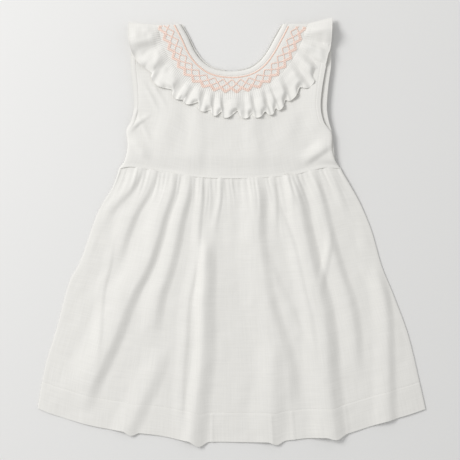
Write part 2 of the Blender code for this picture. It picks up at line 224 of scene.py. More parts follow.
# %% Slub-woven white cotton
WEAVE_PITCH = 1.2
WEAVE_SHARE = 0.25
SLUB_LENGTH = 45.0
SLUB_WIDTH = 1.6
SLUB_SHADE = 0.95
WAVES_IN_A_UNIT = 20 / (2 * pi)


def woven_cotton(name, colour, slub_depth):
    material, tree, shader = plain(name, colour, 0.9)
    shader.inputs["Sheen Weight"].default_value = 0.12
    shader.inputs["Sheen Roughness"].default_value = 0.6
    measure = add(tree, "TexCoord", {}).outputs["UV"]
    threads, slubs = [], []
    for axis, stretch in (("X", (1 / SLUB_WIDTH, 1 / SLUB_LENGTH, 1)),
                          ("Y", (1 / SLUB_LENGTH, 1 / SLUB_WIDTH, 1))):
        thread = add(tree, "TexWave", {"Vector": measure}, bands_direction=axis,
                     Scale=1 / (WAVES_IN_A_UNIT * WEAVE_PITCH * MM), Distortion=0.6, Detail=1.0)
        drawn = add(tree, "Mapping", {"Vector": measure}, Scale=[s / MM for s in stretch])
        slub = add(tree, "TexNoise", {"Vector": drawn.outputs[0]}, Scale=1.0, Detail=2.0)
        threads.append(thread.outputs["Fac"])
        slubs.append(slub.outputs["Fac"])
    weave = add(tree, "Math", {0: threads[0], 1: threads[1]}, operation="ADD")
    streaks = add(tree, "Math", {0: slubs[0], 1: slubs[1]}, operation="ADD")
    faint = add(tree, "Math", {0: weave.outputs[0]}, operation="MULTIPLY")
    faint.inputs[1].default_value = WEAVE_SHARE
    height = add(tree, "Math", {0: faint.outputs[0], 1: streaks.outputs[0]}, operation="ADD")
    raised = add(tree, "Bump", {"Height": height.outputs[0]}, Strength=1.0,
                 Distance=slub_depth * MM)
    tree.links.new(raised.outputs["Normal"], shader.inputs["Normal"])
    tint = add(tree, "MapRange", {"Value": streaks.outputs[0]}, From_Min=0.75, From_Max=1.25,
               To_Min=SLUB_SHADE, To_Max=1.0)
    cloth_colour = add(tree, "Mix", {}, data_type="RGBA", blend_type="MULTIPLY")
    cloth_colour.inputs["Factor"].default_value = 1.0
    tinted = [s for s in cloth_colour.inputs if s.type == "RGBA"]
    tinted[0].default_value = linear(colour)
    tree.links.new(tint.outputs["Result"], tinted[1])
    result = [s for s in cloth_colour.outputs if s.type == "RGBA"][0]
    tree.links.new(result, shader.inputs["Base Color"])
    return material


WHITE_COTTON = "#EFEDE8"
panel_cotton = woven_cotton("white slub cotton", WHITE_COTTON, 0.05)
collar_cotton = woven_cotton("white cotton of the collar", WHITE_COTTON, 0.04)
print("woven cottons:", panel_cotton.name, "and", collar_cotton.name)

# %% [markdown]
# Smocking thread is stranded cotton: a few loose, shiny strands, laid side by side
# with hardly any twist.  Thin slanted ridges along each stitch stand for the strands,
# and the grooves between them are painted a little darker, as painted shade.  The
# sewing thread is the same, only white and finer.

# %% Stranded cotton thread
STRAND_PITCH = 0.45
STRAND_SLANT = 62
STRAND_DEPTH = 0.06
# How much darker the grooves between strands are painted: painted shade.
STRAND_GROOVE_PAINTED_SHADE = 0.96


def stranded_cotton(name, colour):
    material, tree, shader = plain(name, colour, 0.55)
    shader.inputs["Sheen Weight"].default_value = 0.3
    measure = add(tree, "TexCoord", {}).outputs["UV"]
    slant = add(tree, "Mapping", {"Vector": measure}, Rotation=(0, 0, radians(STRAND_SLANT)))
    strands = add(tree, "TexWave", {"Vector": slant.outputs[0]}, bands_direction="X",
                  Scale=1 / (WAVES_IN_A_UNIT * STRAND_PITCH * MM), Distortion=0.4)
    raised = add(tree, "Bump", {"Height": strands.outputs["Fac"]}, Strength=0.5,
                 Distance=STRAND_DEPTH * MM)
    tree.links.new(raised.outputs["Normal"], shader.inputs["Normal"])
    # Painted shade: where the strand wave is low, in the grooves between strands, the colour is
    # darker.
    shade = add(tree, "ValToRGB", {"Fac": strands.outputs["Fac"]})
    shade.color_ramp.elements[0].color = [c * STRAND_GROOVE_PAINTED_SHADE for c in linear(colour)[:3]] + [1.0]
    shade.color_ramp.elements[1].color = linear(colour)
    tree.links.new(shade.outputs["Color"], shader.inputs["Base Color"])
    return material


rope_thread = stranded_cotton("coral stranded cotton", "#FFDDCC")
trellis_thread = stranded_cotton("light coral stranded cotton", "#FFE1D3")
fill_thread = stranded_cotton("pale coral stranded cotton", "#FFE5D8")
sewing_thread = stranded_cotton("white sewing cotton", "#F1EFEA")
print("threads:", rope_thread.name, trellis_thread.name, fill_thread.name)

# %% [markdown]
# ## Making a sheet
# `cloth` turns a placing function into a sheet.  It works out every grid point at
# once, writes the cut cloth's measure into a UV map, gives the sheet its wall with
# a Solidify modifier and applies it.  The wall grows on the side that the faces look
# to: up where the grid's rows run upwards, and down where they run downwards.
# `facing` of -1 turns them over.

# %% Sheets
def build(name, points, faces, measures, finish):
    mesh = bpy.data.meshes.new(name)
    mesh.from_pydata((ORIGIN + points.reshape(-1, 3) * MM).tolist(), [], faces)
    layer = mesh.uv_layers.new(name="cloth measure")
    layer.data.foreach_set("uv", measures.reshape(-1).astype(np.float32))
    mesh.materials.append(finish)
    piece = bpy.data.objects.new(name, mesh)
    bpy.context.collection.objects.link(piece)
    bpy.ops.object.select_all(action="DESELECT")
    bpy.context.view_layer.objects.active = piece
    piece.select_set(True)
    return piece


def cloth(name, us, vs, place, wall, finish, cut, facing=1):
    u, v = np.meshgrid(us, vs, indexing="ij")
    points = np.stack(np.broadcast_arrays(*place(u, v)), -1)
    number = np.arange(u.size).reshape(u.shape)
    corners = [number[:-1, :-1], number[1:, :-1], number[1:, 1:], number[:-1, 1:]]
    faces = np.stack(corners[::facing], -1).reshape(-1, 4)
    measures = np.stack([u * cut[0], v * cut[1]], -1).reshape(-1, 2)[faces.ravel()]
    piece = build(name, points, faces.tolist(), measures, finish)
    thicken = piece.modifiers.new("wall", "SOLIDIFY")
    thicken.thickness = wall * MM
    thicken.offset = 1.0
    thicken.use_even_offset = False
    bpy.ops.object.modifier_apply(modifier=thicken.name)
    bpy.ops.object.shade_smooth_by_angle(angle=radians(60))
    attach(piece, "root")
    print(name, "has", len(piece.data.polygons), "faces")
    return piece


# %% [markdown]
# `threads` makes many short cords in one mesh: stitches, and the narrow rolled edge
# of the ruffle.  Curve objects with a round bevel could make them, but hundreds of
# stitches are lighter as one mesh of six-sided tubes with closed ends.

# %% Cords
def threads(name, paths, radii, finish, flatness=1.0, sides=6):
    paths, radii = np.asarray(paths, float), np.asarray(radii, float)
    along = np.gradient(paths, axis=1)
    along /= np.linalg.norm(along, axis=-1, keepdims=True)
    side = np.cross(along, [0.0, 0.0, 1.0])
    side /= np.linalg.norm(side, axis=-1, keepdims=True)
    up = np.cross(side, along)
    turns = 2 * pi * np.arange(sides) / sides
    ring = side[:, :, None] * np.cos(turns)[:, None]
    ring = ring + flatness * up[:, :, None] * np.sin(turns)[:, None]
    points = paths[:, :, None] + ring * radii[:, None, None]
    number = np.arange(points[..., 0].size).reshape(points.shape[:3])
    turned = np.roll(number, -1, axis=2)
    quads = np.stack([number[:, :-1], number[:, 1:], turned[:, 1:], turned[:, :-1]], -1)
    steps = np.linalg.norm(np.diff(paths, axis=1), axis=-1)
    lengths = np.concatenate([np.zeros((len(paths), 1)), np.cumsum(steps, axis=1)], axis=1)
    start, end = lengths[:, :-1, None] + 0 * turns, lengths[:, 1:, None] + 0 * turns
    here = radii.max() * turns + 0 * start
    there = here + 2 * pi * radii.max() / sides
    measures = np.stack([start, here, end, here, end, there, start, there], -1) * MM
    caps = np.concatenate([number[:, 0], number[:, -1, ::-1]])
    measures = np.concatenate([measures.ravel(), np.zeros(caps.size * 2)])
    faces = quads.reshape(-1, 4).tolist() + caps.tolist()
    piece = build(name, points, faces, measures, finish)
    piece.data.shade_smooth()
    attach(piece, "root")
    print(name, "has", len(paths), "cords")
    return piece


# %% [markdown]
# ## Layers
# On the table lie the back of the collar, the back of the dress, its front, and
# the front of the collar.  Just above the waist the back sinks to the table.  The
# heights are those of the CAD model, so each sheet keeps to its own layer.  Cloth
# that turns over at an edge goes down in a quarter round.  The fold of the right
# shoulder stands higher towards the ruffle's edge than the left one.

# %% Heights of the layers
LAYER = 1.4
PLEATED = 2.2
BACK_LIFT = 2.5
LIFT_START, LIFT_LENGTH = 76.0, 22.0
FOLD_MIDDLE = (BACK_LIFT + 3 * LAYER + PLEATED) / 2
FLAP_STANDS, FLAP_START = 4.0, 7.0
WALL, BACK_WALL = 0.5, 0.45


def back_height(y):
    return BACK_LIFT * ease((y - LIFT_START) / LIFT_LENGTH)


def front_height(y):
    return back_height(y) + 2 * LAYER


def quarter_round(share):
    return np.sqrt(np.clip(1 - (1 - np.clip(share, 0, 1)) ** 2, 0, 1))


def edge_fold(share, width, reach, drop):
    return drop * (1 - quarter_round(np.minimum(share, 1 - share) * width / reach))


def fold_stand(place, across):
    return FOLD_MIDDLE + FLAP_STANDS * across * ease(place - FLAP_START)


print("the middle of the shoulder fold is", FOLD_MIDDLE, "mm up")

# %% [markdown]
# ## The front of the skirt
# The skirt is a wide A-line panel gathered into the waist seam.  Its folds are
# what makes it look like cloth, so each one is a row of a table: where the middle of
# its right side runs at five levels from waist to hem, where it begins and ends, how
# high it stands, and how wide its left and right sides are.  Places and widths are
# shares of the panel.  Light from the left makes the right sides, most of them
# steep, the dark streaks that the eye reads as folds.  The hem dips at four of them.

# %% Outlines and folds of the skirt
WAIST = [(-139.5, 80.5), (-126.0, 82.5), (-108.0, 80.0), (-83.0, 75.0), (-39.5, 69.5),
         (0.0, 68.0), (36.0, 69.0), (73.0, 72.0), (98.0, 77.5), (117.0, 81.5), (135.5, 80.5)]
SKIRT_LEFT = [(-139.5, 80.5), (-149.0, 56.0), (-167.0, 25.0), (-187.0, -31.0),
              (-203.0, -63.0), (-217.0, -115.0), (-232.0, -165.0), (-242.0, -218.0)]
SKIRT_RIGHT = [(135.5, 80.5), (149.0, 58.0), (162.0, 34.0), (175.0, 2.0),
               (187.0, -40.0), (204.0, -82.0), (222.0, -133.0), (242.0, -219.0)]
HEM = [(-242.0, -218.0), (-222.0, -226.0), (-178.0, -239.0), (-133.0, -247.0), (-90.0, -252.0),
       (-52.0, -259.0), (0.0, -260.0), (50.0, -260.0), (92.0, -255.5), (135.0, -252.0),
       (186.0, -236.5), (218.0, -227.0), (242.0, -219.0)]
SkirtFold = namedtuple("SkirtFold", "waist quarter half low hem start end height rise fall")
SKIRT_FOLDS = [
    SkirtFold(0.112, 0.045, 0.030, 0.030, 0.030, -0.10, 0.28, 2.00, 0.045, 0.0275),
    SkirtFold(0.175, 0.135, 0.120, 0.120, 0.120, -0.10, 0.42, 2.56, 0.050, 0.0275),
    SkirtFold(0.265, 0.250, 0.207, 0.162, 0.120, -0.05, 0.98, 5.20, 0.085, 0.035),
    SkirtFold(0.330, 0.315, 0.293, 0.285, 0.280, -0.05, 0.68, 4.00, 0.055, 0.0325),
    SkirtFold(0.379, 0.388, 0.379, 0.374, 0.384, -0.05, 1.05, 1.44, 0.030, 0.015),
    SkirtFold(0.430, 0.430, 0.442, 0.438, 0.420, 0.20, 1.30, 5.20, 0.032, 0.045),
    SkirtFold(0.470, 0.470, 0.475, 0.475, 0.475, 0.16, 0.66, 2.24, 0.060, 0.1125),
    SkirtFold(0.466, 0.445, 0.445, 0.445, 0.445, -0.10, 0.26, 1.60, 0.020, 0.015),
    SkirtFold(0.645, 0.615, 0.640, 0.670, 0.665, -0.05, 0.95, 3.84, 0.085, 0.0375),
    SkirtFold(0.630, 0.630, 0.630, 0.630, 0.620, 0.58, 1.30, 3.60, 0.060, 0.04375),
    SkirtFold(0.700, 0.668, 0.668, 0.668, 0.668, -0.10, 0.30, 1.60, 0.025, 0.0175),
    SkirtFold(0.610, 0.620, 0.689, 0.730, 0.740, 0.24, 0.78, 1.44, 0.040, 0.0275),
    SkirtFold(0.765, 0.735, 0.735, 0.735, 0.735, -0.10, 0.22, 1.60, 0.022, 0.015),
    SkirtFold(0.670, 0.720, 0.744, 0.735, 0.730, 0.08, 0.80, 1.60, 0.035, 0.0175),
    SkirtFold(0.795, 0.785, 0.800, 0.782, 0.780, -0.05, 1.30, 6.40, 0.070, 0.0425),
    SkirtFold(0.870, 0.860, 0.790, 0.780, 0.780, 0.20, 0.52, 1.76, 0.022, 0.02),
    SkirtFold(0.885, 0.862, 0.878, 0.856, 0.840, -0.05, 0.84, 3.60, 0.050, 0.03),
    SkirtFold(0.960, 0.930, 0.900, 0.880, 0.880, -0.10, 0.26, 1.76, 0.030, 0.025),
    SkirtFold(0.985, 0.985, 0.985, 0.944, 0.915, 0.38, 1.25, 3.60, 0.045, 0.0275),
    SkirtFold(0.090, 0.090, 0.115, 0.135, 0.140, 0.28, 0.82, 1.12, 0.030, 0.01125),
    SkirtFold(0.310, 0.310, 0.310, 0.310, 0.250, 0.64, 1.30, 3.36, 0.050, 0.0375),
]
FADE_IN, FADE_OUT = 0.14, 0.18
HemDip = namedtuple("HemDip", "place width drop")
HEM_DIPS = [HemDip(0.244, 0.022, 4.0), HemDip(0.417, 0.028, 6.0),
            HemDip(0.614, 0.024, 4.0), HemDip(0.766, 0.030, 4.0)]
HEM_PUCKERS = [0.452, 0.604, 0.658, 0.797]
HEM_LINE = 0.893
print(len(SKIRT_FOLDS), "folds in the front of the skirt")

# %% [markdown]
# The gathers are small tight folds made by a drawn-up thread.  They are strongest
# just under the seam and die away within two to eight centimetres, each at its own
# distance.  Their places and sizes are drawn from a seeded generator, because real
# gathers are uneven and too many to place by hand.

# %% Gathers and folds of the skirt
GATHERS = 52
GATHERS_EASED = 0.018
Gather = namedtuple("Gather", "place width height reach drift")


def draw_gathers(count, seed):
    rng = np.random.default_rng(seed)
    even = (np.arange(count) + 0.5) / count
    places = even + rng.uniform(-0.38, 0.38, count) / count
    widths = rng.uniform(0.40, 0.75, count) / count
    heights = rng.uniform(0.3, 1.15, count)
    reaches = rng.uniform(0.06, 0.24, count)
    drifts = rng.uniform(-0.06, 0.06, count)
    return [Gather(*row) for row in zip(places, widths, heights, reaches, drifts)]


FRONT_GATHERS = draw_gathers(GATHERS, 11)


def gather_height(u, v, gathers):
    total = 0 * u
    for one in gathers:
        shape = bump(u - one.place - one.drift * v, one.width, one.width)
        total = total + one.height * shape * ease(1 - v / one.reach)
    return total * between(0.35, 1.0, ease(v / GATHERS_EASED))


def fold_height(u, v):
    total = 0 * u
    for fold in SKIRT_FOLDS:
        levels = [(place, 0.0) for place in fold[:5]]
        crest = smooth(levels, v)[..., 0] - fold.fall / 2
        reach = ease((v - fold.start) / FADE_IN) * ease((fold.end - v) / FADE_OUT)
        total = total + fold.height * reach * bump(u - crest, fold.rise, fold.fall)
    return total


print(GATHERS, "gathers, the highest", round(max(one.height for one in FRONT_GATHERS), 2), "mm")

# %% [markdown]
# The panel's points come from its four outlines.  Its top is tucked under the
# bodice, its hem is two layers thick below a sewn line, with a pucker here and
# there, and the cloth between the folds is a little uneven.

# %% Hem, tuck and unevenness of the front
SKIRT_WIDTH = 480.0
SKIRT_CUT = (0.54, 0.345)
TUCKED_UNDER, TUCK_SHARE, SEAM_STEP = 1.0, 0.02, 0.6
skirt_plan = patch(outline(WAIST), outline(HEM), outline(SKIRT_LEFT), outline(SKIRT_RIGHT))


def tucked(y, v):
    return y - SEAM_STEP + (TUCKED_UNDER + SEAM_STEP) * (1 - ease(v / TUCK_SHARE))


def hem_height(u, v):
    turned = 0.22 * ease((v - HEM_LINE) / 0.008) - 0.12 * bump(v - HEM_LINE, 0.006, 0.004)
    puckers = sum(0.7 * bump(u - place, 0.006, 0.004) for place in HEM_PUCKERS)
    return turned + puckers * ease((v - HEM_LINE) / 0.01)


def skirt_unevenness(u, v, x, y):
    soft = 0.8 * rumple(SKIRT_WIDTH * u, 90 * v, 36.0, 3)
    soft = soft + 0.35 * rumple(SKIRT_WIDTH * u, 150 * v, 15.0, 4)
    soft = soft + 0.25 * rumple(x, y, 11.0, 5)
    return soft * ease(np.minimum(u, 1 - u) / 0.03) * ease(v / 0.05)


print("the skirt's cloth is cut", SKIRT_CUT[0], "m wide and", SKIRT_CUT[1], "m long")

# %% [markdown]
# All of this adds up to one height for each point.  The grid's lines lie closer
# together at the side edges, at the gathers and at the hem's sewn line, where the
# surface turns fastest.

# %% The sheet of the front
def skirt_front_place(u, v):
    x, y = skirt_plan(u, v)
    dips = sum(dip.drop * bump(u - dip.place, dip.width, dip.width) for dip in HEM_DIPS)
    y = tucked(y, v) - dips * v ** 8
    level = between(2 * LAYER, 1.5, ease(v / 0.3))
    height = level + fold_height(u, v) + gather_height(u, v, FRONT_GATHERS) + hem_height(u, v)
    height = height + skirt_unevenness(u, v, x, y)
    return x, y, height - edge_fold(u, SKIRT_WIDTH, 5.0, 0.5)


def closer_at_edges(steps, narrow, finer):
    return np.concatenate([np.linspace(0, narrow, finer, endpoint=False),
                           np.linspace(narrow, 1 - narrow, steps, endpoint=False),
                           np.linspace(1 - narrow, 1, finer + 1)])


skirt_down = np.concatenate([np.linspace(0, 0.2, 40, endpoint=False),
                             np.linspace(0.2, 0.88, 80, endpoint=False),
                             np.linspace(0.88, 0.905, 12, endpoint=False),
                             np.linspace(0.905, 1.0, 26)])
skirt_front = cloth("skirt_front_cotton", closer_at_edges(258, 0.012, 7), skirt_down,
                    skirt_front_place, WALL, panel_cotton, SKIRT_CUT, facing=-1)
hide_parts("skirt_front")

# %% [markdown]
# ## The back of the skirt
# The same cut, pressed flat between the front and the table.  It has its own
# gathers and hem, and its hem ends a little above the front's, so that the front's
# edge is the one that shows.

# %% Back of the skirt
BACK_GATHERS = draw_gathers(24, 12)
BACK_HEM_SHORTER = 2.5
CLEAR_OF_TABLE = 0.1


def skirt_back_place(u, v):
    x, y = skirt_plan(u, v)
    y = tucked(y, v) + BACK_HEM_SHORTER * v ** 4
    height = CLEAR_OF_TABLE + 0.5 * gather_height(u, v, BACK_GATHERS)
    turned = 0.2 * ease((v - HEM_LINE) / 0.006)
    return x, y, height + turned + 0.08 * (1 + rumple(x, y, 40.0, 6))


skirt_back = cloth("skirt_back_cotton", closer_at_edges(150, 0.012, 3), skirt_down[::2],
                   skirt_back_place, 0.4, panel_cotton, SKIRT_CUT, facing=-1)
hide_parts("skirt_back")

# %% [markdown]
# ## Lines of the collar
# The collar is measured in rows that go round the neck from the left shoulder fold
# to the right one.  Each row says where the neck edge, the outer edge of the smocked
# band and the free edge of the ruffle are.  The back of the collar follows the same
# rows at the shoulders, and between them it is made even on both sides.  Cloth that
# goes over a shoulder sinks to the middle of the stack there, in a quarter round.

# %% Collar rows
CollarRow = namedtuple("CollarRow", "neck_x neck_y band_x band_y edge_x edge_y")
COLLAR = [
    CollarRow(-64.0, 260.0, -92.0, 259.0, -128.0, 262.0),
    CollarRow(-55.5, 245.0, -85.5, 234.0, -126.5, 232.0),
    CollarRow(-47.0, 227.0, -74.5, 212.5, -110.0, 204.0),
    CollarRow(-36.0, 213.0, -59.5, 196.5, -87.0, 179.0),
    CollarRow(-21.5, 204.0, -38.0, 182.5, -57.0, 161.0),
    CollarRow(-0.5, 201.0, -4.0, 174.0, -12.0, 144.0),
    CollarRow(20.5, 204.0, 34.5, 180.5, 46.0, 146.0),
    CollarRow(35.0, 213.0, 57.0, 195.0, 77.0, 167.5),
    CollarRow(46.0, 227.0, 73.0, 212.5, 104.5, 189.0),
    CollarRow(55.5, 244.0, 84.5, 232.5, 121.0, 222.0),
    CollarRow(64.5, 260.0, 94.5, 260.5, 125.5, 268.0),
]
LAST = len(COLLAR) - 1
SHOULDER_ROLL = 0.5


def collar_line(which, place, back=False):
    rows = [(getattr(row, which + "_x"), getattr(row, which + "_y")) for row in COLLAR]
    point = smooth(rows, place / LAST)
    if not back:
        return point
    other = smooth(rows, 1 - place / LAST)
    even = np.stack([point[..., 0] - other[..., 0], point[..., 1] + other[..., 1]], -1) / 2
    return between(point, even, ease(2 - np.abs(2 * place / LAST - 1) * 2)[..., None])


def outward_from_neck(place, back=False):
    neck = collar_line("neck", place, back)
    across = collar_line("band", place, back) - neck
    width = np.linalg.norm(across, axis=-1)
    return neck, across / width[..., None], width


def over_shoulder(height, place, reach=SHOULDER_ROLL, middle=FOLD_MIDDLE):
    return between(middle, height, quarter_round(np.minimum(place, LAST - place) / reach))


print("the collar has", len(COLLAR), "rows")

# %% [markdown]
# ## The bodice
# The front is one panel.  Creases run in from the underarms, where the dress was
# folded, and soft upright ones hang from the collar.  Each runs straight from its
# start to its end, with its steep side on its right.  They are rows of a table, as
# the skirt's folds are, because each has its own place on the dress.

# %% Outlines and creases of the bodice
BODICE_LEFT = [(-139.5, 80.5), (-132.5, 91.5), (-129.0, 110.0), (-130.5, 127.5), (-124.5, 140.0),
               (-121.5, 158.0), (-122.5, 182.0), (-125.5, 212.0), (-122.5, 232.0), (-115.0, 249.0)]
BODICE_RIGHT = [(135.5, 80.5), (128.0, 91.5), (124.5, 106.0), (124.0, 124.0), (114.5, 138.0),
                (110.5, 158.0), (113.0, 184.0), (118.0, 212.0), (120.5, 233.0), (115.0, 249.0)]
BACK_RIGHT = [(135.5, 80.5), (129.0, 91.5), (127.0, 106.0), (125.0, 124.0), (120.5, 141.0),
              (118.5, 158.0), (120.5, 184.0), (124.0, 212.0), (122.5, 233.0), (115.0, 249.0)]
Crease = namedtuple("Crease", "start end height rise fall")
CREASES = [
    Crease((-86, 90), (-72, 175), 1.5, 22.0, 16.0),
    Crease((-42, 72), (-43, 170), 1.2, 18.0, 14.0),
    Crease((31, 72), (26, 170), 1.0, 18.0, 14.0),
    Crease((58, 95), (92, 175), 1.2, 22.0, 16.0),
    Crease((-128, 120), (-102, 91), 1.8, 12.0, 7.0),
    Crease((-129, 125), (-110, 145), 1.5, 7.0, 5.0),
    Crease((-124, 131), (-98, 150), 0.9, 5.0, 4.0),
    Crease((-88, 147), (-111, 190), 0.9, 5.0, 3.5),
    Crease((-103, 192), (-78, 152), 0.8, 5.0, 3.5),
    Crease((-127, 128), (-115, 160), 0.8, 4.0, 3.0),
    Crease((-118, 150), (-100, 112), 0.9, 6.0, 4.0),
    Crease((84, 85), (128, 114), 3.6, 14.0, 8.0),
]
print(len(CREASES), "creases in the front of the bodice")

# %% [markdown]
# The armhole edges are turned in and stitched, so a strip there is a little
# thicker.  At the right side front and back stand up from the table a little, which
# opens the armhole there.  The top edge runs along under the neck binding.

# %% Edges of the bodice
SIDE_SEAM = 0.30
BODICE_EDGE = 3.0
NECK_DROP = 2.1
ARMHOLE_TURN = 5.5
SIDE_STANDS, SIDE_REACH = 3.5, 32.0


def bodice_top(left, right):
    places = np.arange(LAST + 1.0)
    neck, outward, width = outward_from_neck(places)
    rows = neck + outward * BODICE_EDGE
    rows[0, 1], rows[-1, 1] = left[1], right[1]
    return [tuple(left)] + rows.tolist() + [tuple(right)]


def crease_height(x, y):
    total = 0 * x
    for crease in CREASES:
        start, run = np.array(crease.start), np.subtract(crease.end, crease.start)
        share = ((x - start[0]) * run[0] + (y - start[1]) * run[1]) / (run @ run)
        side = ((x - start[0]) * run[1] - (y - start[1]) * run[0]) / np.sqrt(run @ run)
        shape = bump(side, crease.rise, crease.fall)
        total = total + crease.height * shape * ease(1.3 - np.abs(2 * share - 1) * 1.3)
    return total


left_seam, right_seam = outline(BODICE_LEFT), outline(BODICE_RIGHT)
front_top = outline(bodice_top(left_seam(np.array(1.0)), right_seam(np.array(1.0))))
bodice_plan = patch(outline(WAIST), front_top, left_seam, right_seam)
back_plan = patch(outline(WAIST), front_top, left_seam, outline(BACK_RIGHT))


def armhole_turn(u, v, width):
    inward = np.minimum(u, 1 - u) * width
    strip = 0.35 * ease((ARMHOLE_TURN - inward) / 0.8)
    strip = strip - 0.2 * bump(inward - ARMHOLE_TURN, 1.2, 0.8)
    return strip * ease((v - SIDE_SEAM) / 0.03)


def right_side_stand(u, v, width):
    return SIDE_STANDS * ease(1 - (1 - u) * width / SIDE_REACH) * ease(v / 0.08)


print("the bodice's sides are seamed up to", round(left_seam(np.array(SIDE_SEAM))[1]), "mm")

# %% [markdown]
# The seam allowance of the waist lies inside and lifts the bodice's lowest strip.
# The sides of the front turn over to the back as far up as the underarm, and its
# neck edge sinks under the collar.

# %% Front of the bodice
BODICE_CUT = (0.28, 0.19)
BODICE_HEIGHT = 180.0
SEAM_ALLOWANCE, ALLOWANCE_LIFTS = 7.0, 0.9


def front_width(v):
    return between(275.0, 235.0, v)


def bodice_front_place(u, v):
    x, y = bodice_plan(u, v)
    width = front_width(v)
    soft = 0.8 * rumple(x, y * 0.35, 26.0, 21) + 0.3 * rumple(x, y * 0.7, 11.0, 22)
    soft = soft * ease(np.minimum(u, 1 - u) / 0.03) * ease(v / 0.05)
    seam = ALLOWANCE_LIFTS * ease(1 - v * BODICE_HEIGHT / SEAM_ALLOWANCE)
    side = edge_fold(u, width, 4.0, 1.2) * ease((SIDE_SEAM - v) / 0.04 + 1)
    height = front_height(y) + crease_height(x, y) + armhole_turn(u, v, width)
    lifted = right_side_stand(u, v, width) - NECK_DROP * ease((v - 0.9) / 0.1)
    return x, y, height + soft + seam - side + lifted


bodice_up = np.concatenate([np.linspace(0, 0.04, 8, endpoint=False), np.linspace(0.04, 1, 112)])
bodice_front = cloth("bodice_front_cotton", closer_at_edges(190, 0.03, 14), bodice_up,
                     bodice_front_place, WALL, panel_cotton, BODICE_CUT)
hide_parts("bodice_front")

# %% [markdown]
# The two backs lap at the centre, where the buttons are.  Each is half of one grid
# and goes a little past its middle.  The right half rises a layer there, and lies
# between the left one and the front.

# %% Backs of the bodice
BACK_WIDTH = 240.0
LAP = 1 / 24


def back_place(u, v, lapping, seed):
    x, y = back_plan(u, v)
    lying = back_height(y) + 0.05 + lapping + armhole_turn(u, v, BACK_WIDTH)
    return x, y, lying + 0.1 * (1 + rumple(x, y, 25.0, seed))


def back_left_place(u, v):
    return back_place(u, v, 0.0, 23)


def back_right_place(u, v):
    lap = LAYER * ease((0.5 + 2 * LAP - u) / LAP)
    return back_place(u, v, lap + right_side_stand(u, v, BACK_WIDTH), 24)


for side, place, shares in (("left", back_left_place, np.linspace(0, 0.5 + LAP, 90)),
                            ("right", back_right_place, np.linspace(0.5 - LAP, 1, 90))):
    piece = cloth("bodice_back_" + side + "_cotton", shares, bodice_up[::2], place, WALL,
                  panel_cotton, BODICE_CUT)
    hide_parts("bodice_back_" + side)

# %% [markdown]
# ## The smocked band
# The upper part of the collar strip is drawn up into narrow, even pleats, and
# embroidery across the tops of the pleats holds them.  A bump in the material could
# draw the pleats, but they catch the light and carry the stitches, so each is
# modelled.  They are counted along the middle of the band, six to each diamond of
# the embroidery, with one diamond in the middle of the front.  The cut sizes are
# the cloth that one pleat takes and the length from edge to edge.

# %% Counting pleats round the neck
DIAMOND = 11.9
PLEATS_IN_DIAMOND = 6
PLEAT_HEIGHT, BAND_CLEAR = 0.8, 0.2
BINDING_WIDTH, UNDER_BINDING = 6.0, 1.5
MIDDLE_OF_BAND = 16.0
SUNK_REACH = 14.0
NEAR_END = 0.004
BAND_CUT, RUFFLE_CUT, BINDING_CUT = (0.0036, 0.030), (0.0036, 0.036), (0.0020, 0.006)
ALL_PLACES = np.linspace(0, LAST, 1500)
PLEAT_POINTS = np.array([0.0, 0.07, 0.2, 0.35, 0.5, 0.65, 0.8, 0.93])


def pleat_counter(back):
    neck, outward, width = outward_from_neck(ALL_PLACES, back)
    line = neck + outward * MIDDLE_OF_BAND
    steps = np.linalg.norm(np.diff(line, axis=0), axis=1)
    lengths = np.concatenate([[0], np.cumsum(steps)])
    middle = np.interp(0.0, line[:, 0], lengths)
    counts = (lengths - middle) / DIAMOND * PLEATS_IN_DIAMOND
    return counts, lambda count: np.interp(count, counts, ALL_PLACES)


front_counts, place_of_pleat = pleat_counter(back=False)
FIRST_PLEAT, LAST_PLEAT = int(np.ceil(front_counts[0])), int(np.floor(front_counts[-1]))
print("the front band has", LAST_PLEAT - FIRST_PLEAT, "pleats")

# %% [markdown]
# A pleat has a rounded top with a sharp valley on either side, which a sine raised
# to a power below one gives.  The grid has more lines in the valleys.  Towards the
# neck the band sinks a little, and under the binding its pleats flatten out.

# %% Front of the smocked band
def pleat_shape(count):
    return np.abs(np.sin(pi * count)) ** 0.6


def band_underside(place, y, distance):
    sunk = NECK_DROP * ease(1 - distance / SUNK_REACH)
    return over_shoulder(front_height(y) + LAYER - sunk, place)


def inside_collar(place):
    return np.clip(place, NEAR_END, LAST - NEAR_END)


def band_front_place(count, across):
    place = inside_collar(place_of_pleat(count))
    neck, outward, width = outward_from_neck(place)
    distance = between(BINDING_WIDTH - UNDER_BINDING, width, across)
    point = neck + outward * distance[..., None]
    height = band_underside(place, point[..., 1], distance) + BAND_CLEAR
    height = height + PLEAT_HEIGHT * pleat_shape(count) * ease(across / 0.1)
    return point[..., 0], point[..., 1], height


pleats = np.arange(FIRST_PLEAT, LAST_PLEAT)
pleat_columns = np.concatenate([[front_counts[0]], (pleats[:, None] + PLEAT_POINTS).ravel(),
                                [LAST_PLEAT, front_counts[-1]]])
band_across = np.linspace(0, 1, 18)
band_front = cloth("smocked_band_front_cotton", pleat_columns, band_across, band_front_place, WALL,
                   collar_cotton, BAND_CUT, facing=-1)
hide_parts("smocked_band_front")

# %% [markdown]
# ## The ruffle
# The lower part of the same strip is left free.  The pleats let go below the last
# row of stitches and open out into sixteen round folds.  One even wave would look
# like corrugated board, so each fold is a row of its own: where it ends on the band
# and on the free edge, counted in collar rows, how high it stands, how far its top
# leans towards that end, and how far its edge draws back.  Near the free edge the
# top of a fold curls down, so that the edge is a row of rounded lobes.  The wide
# folds at the shoulders stay open.

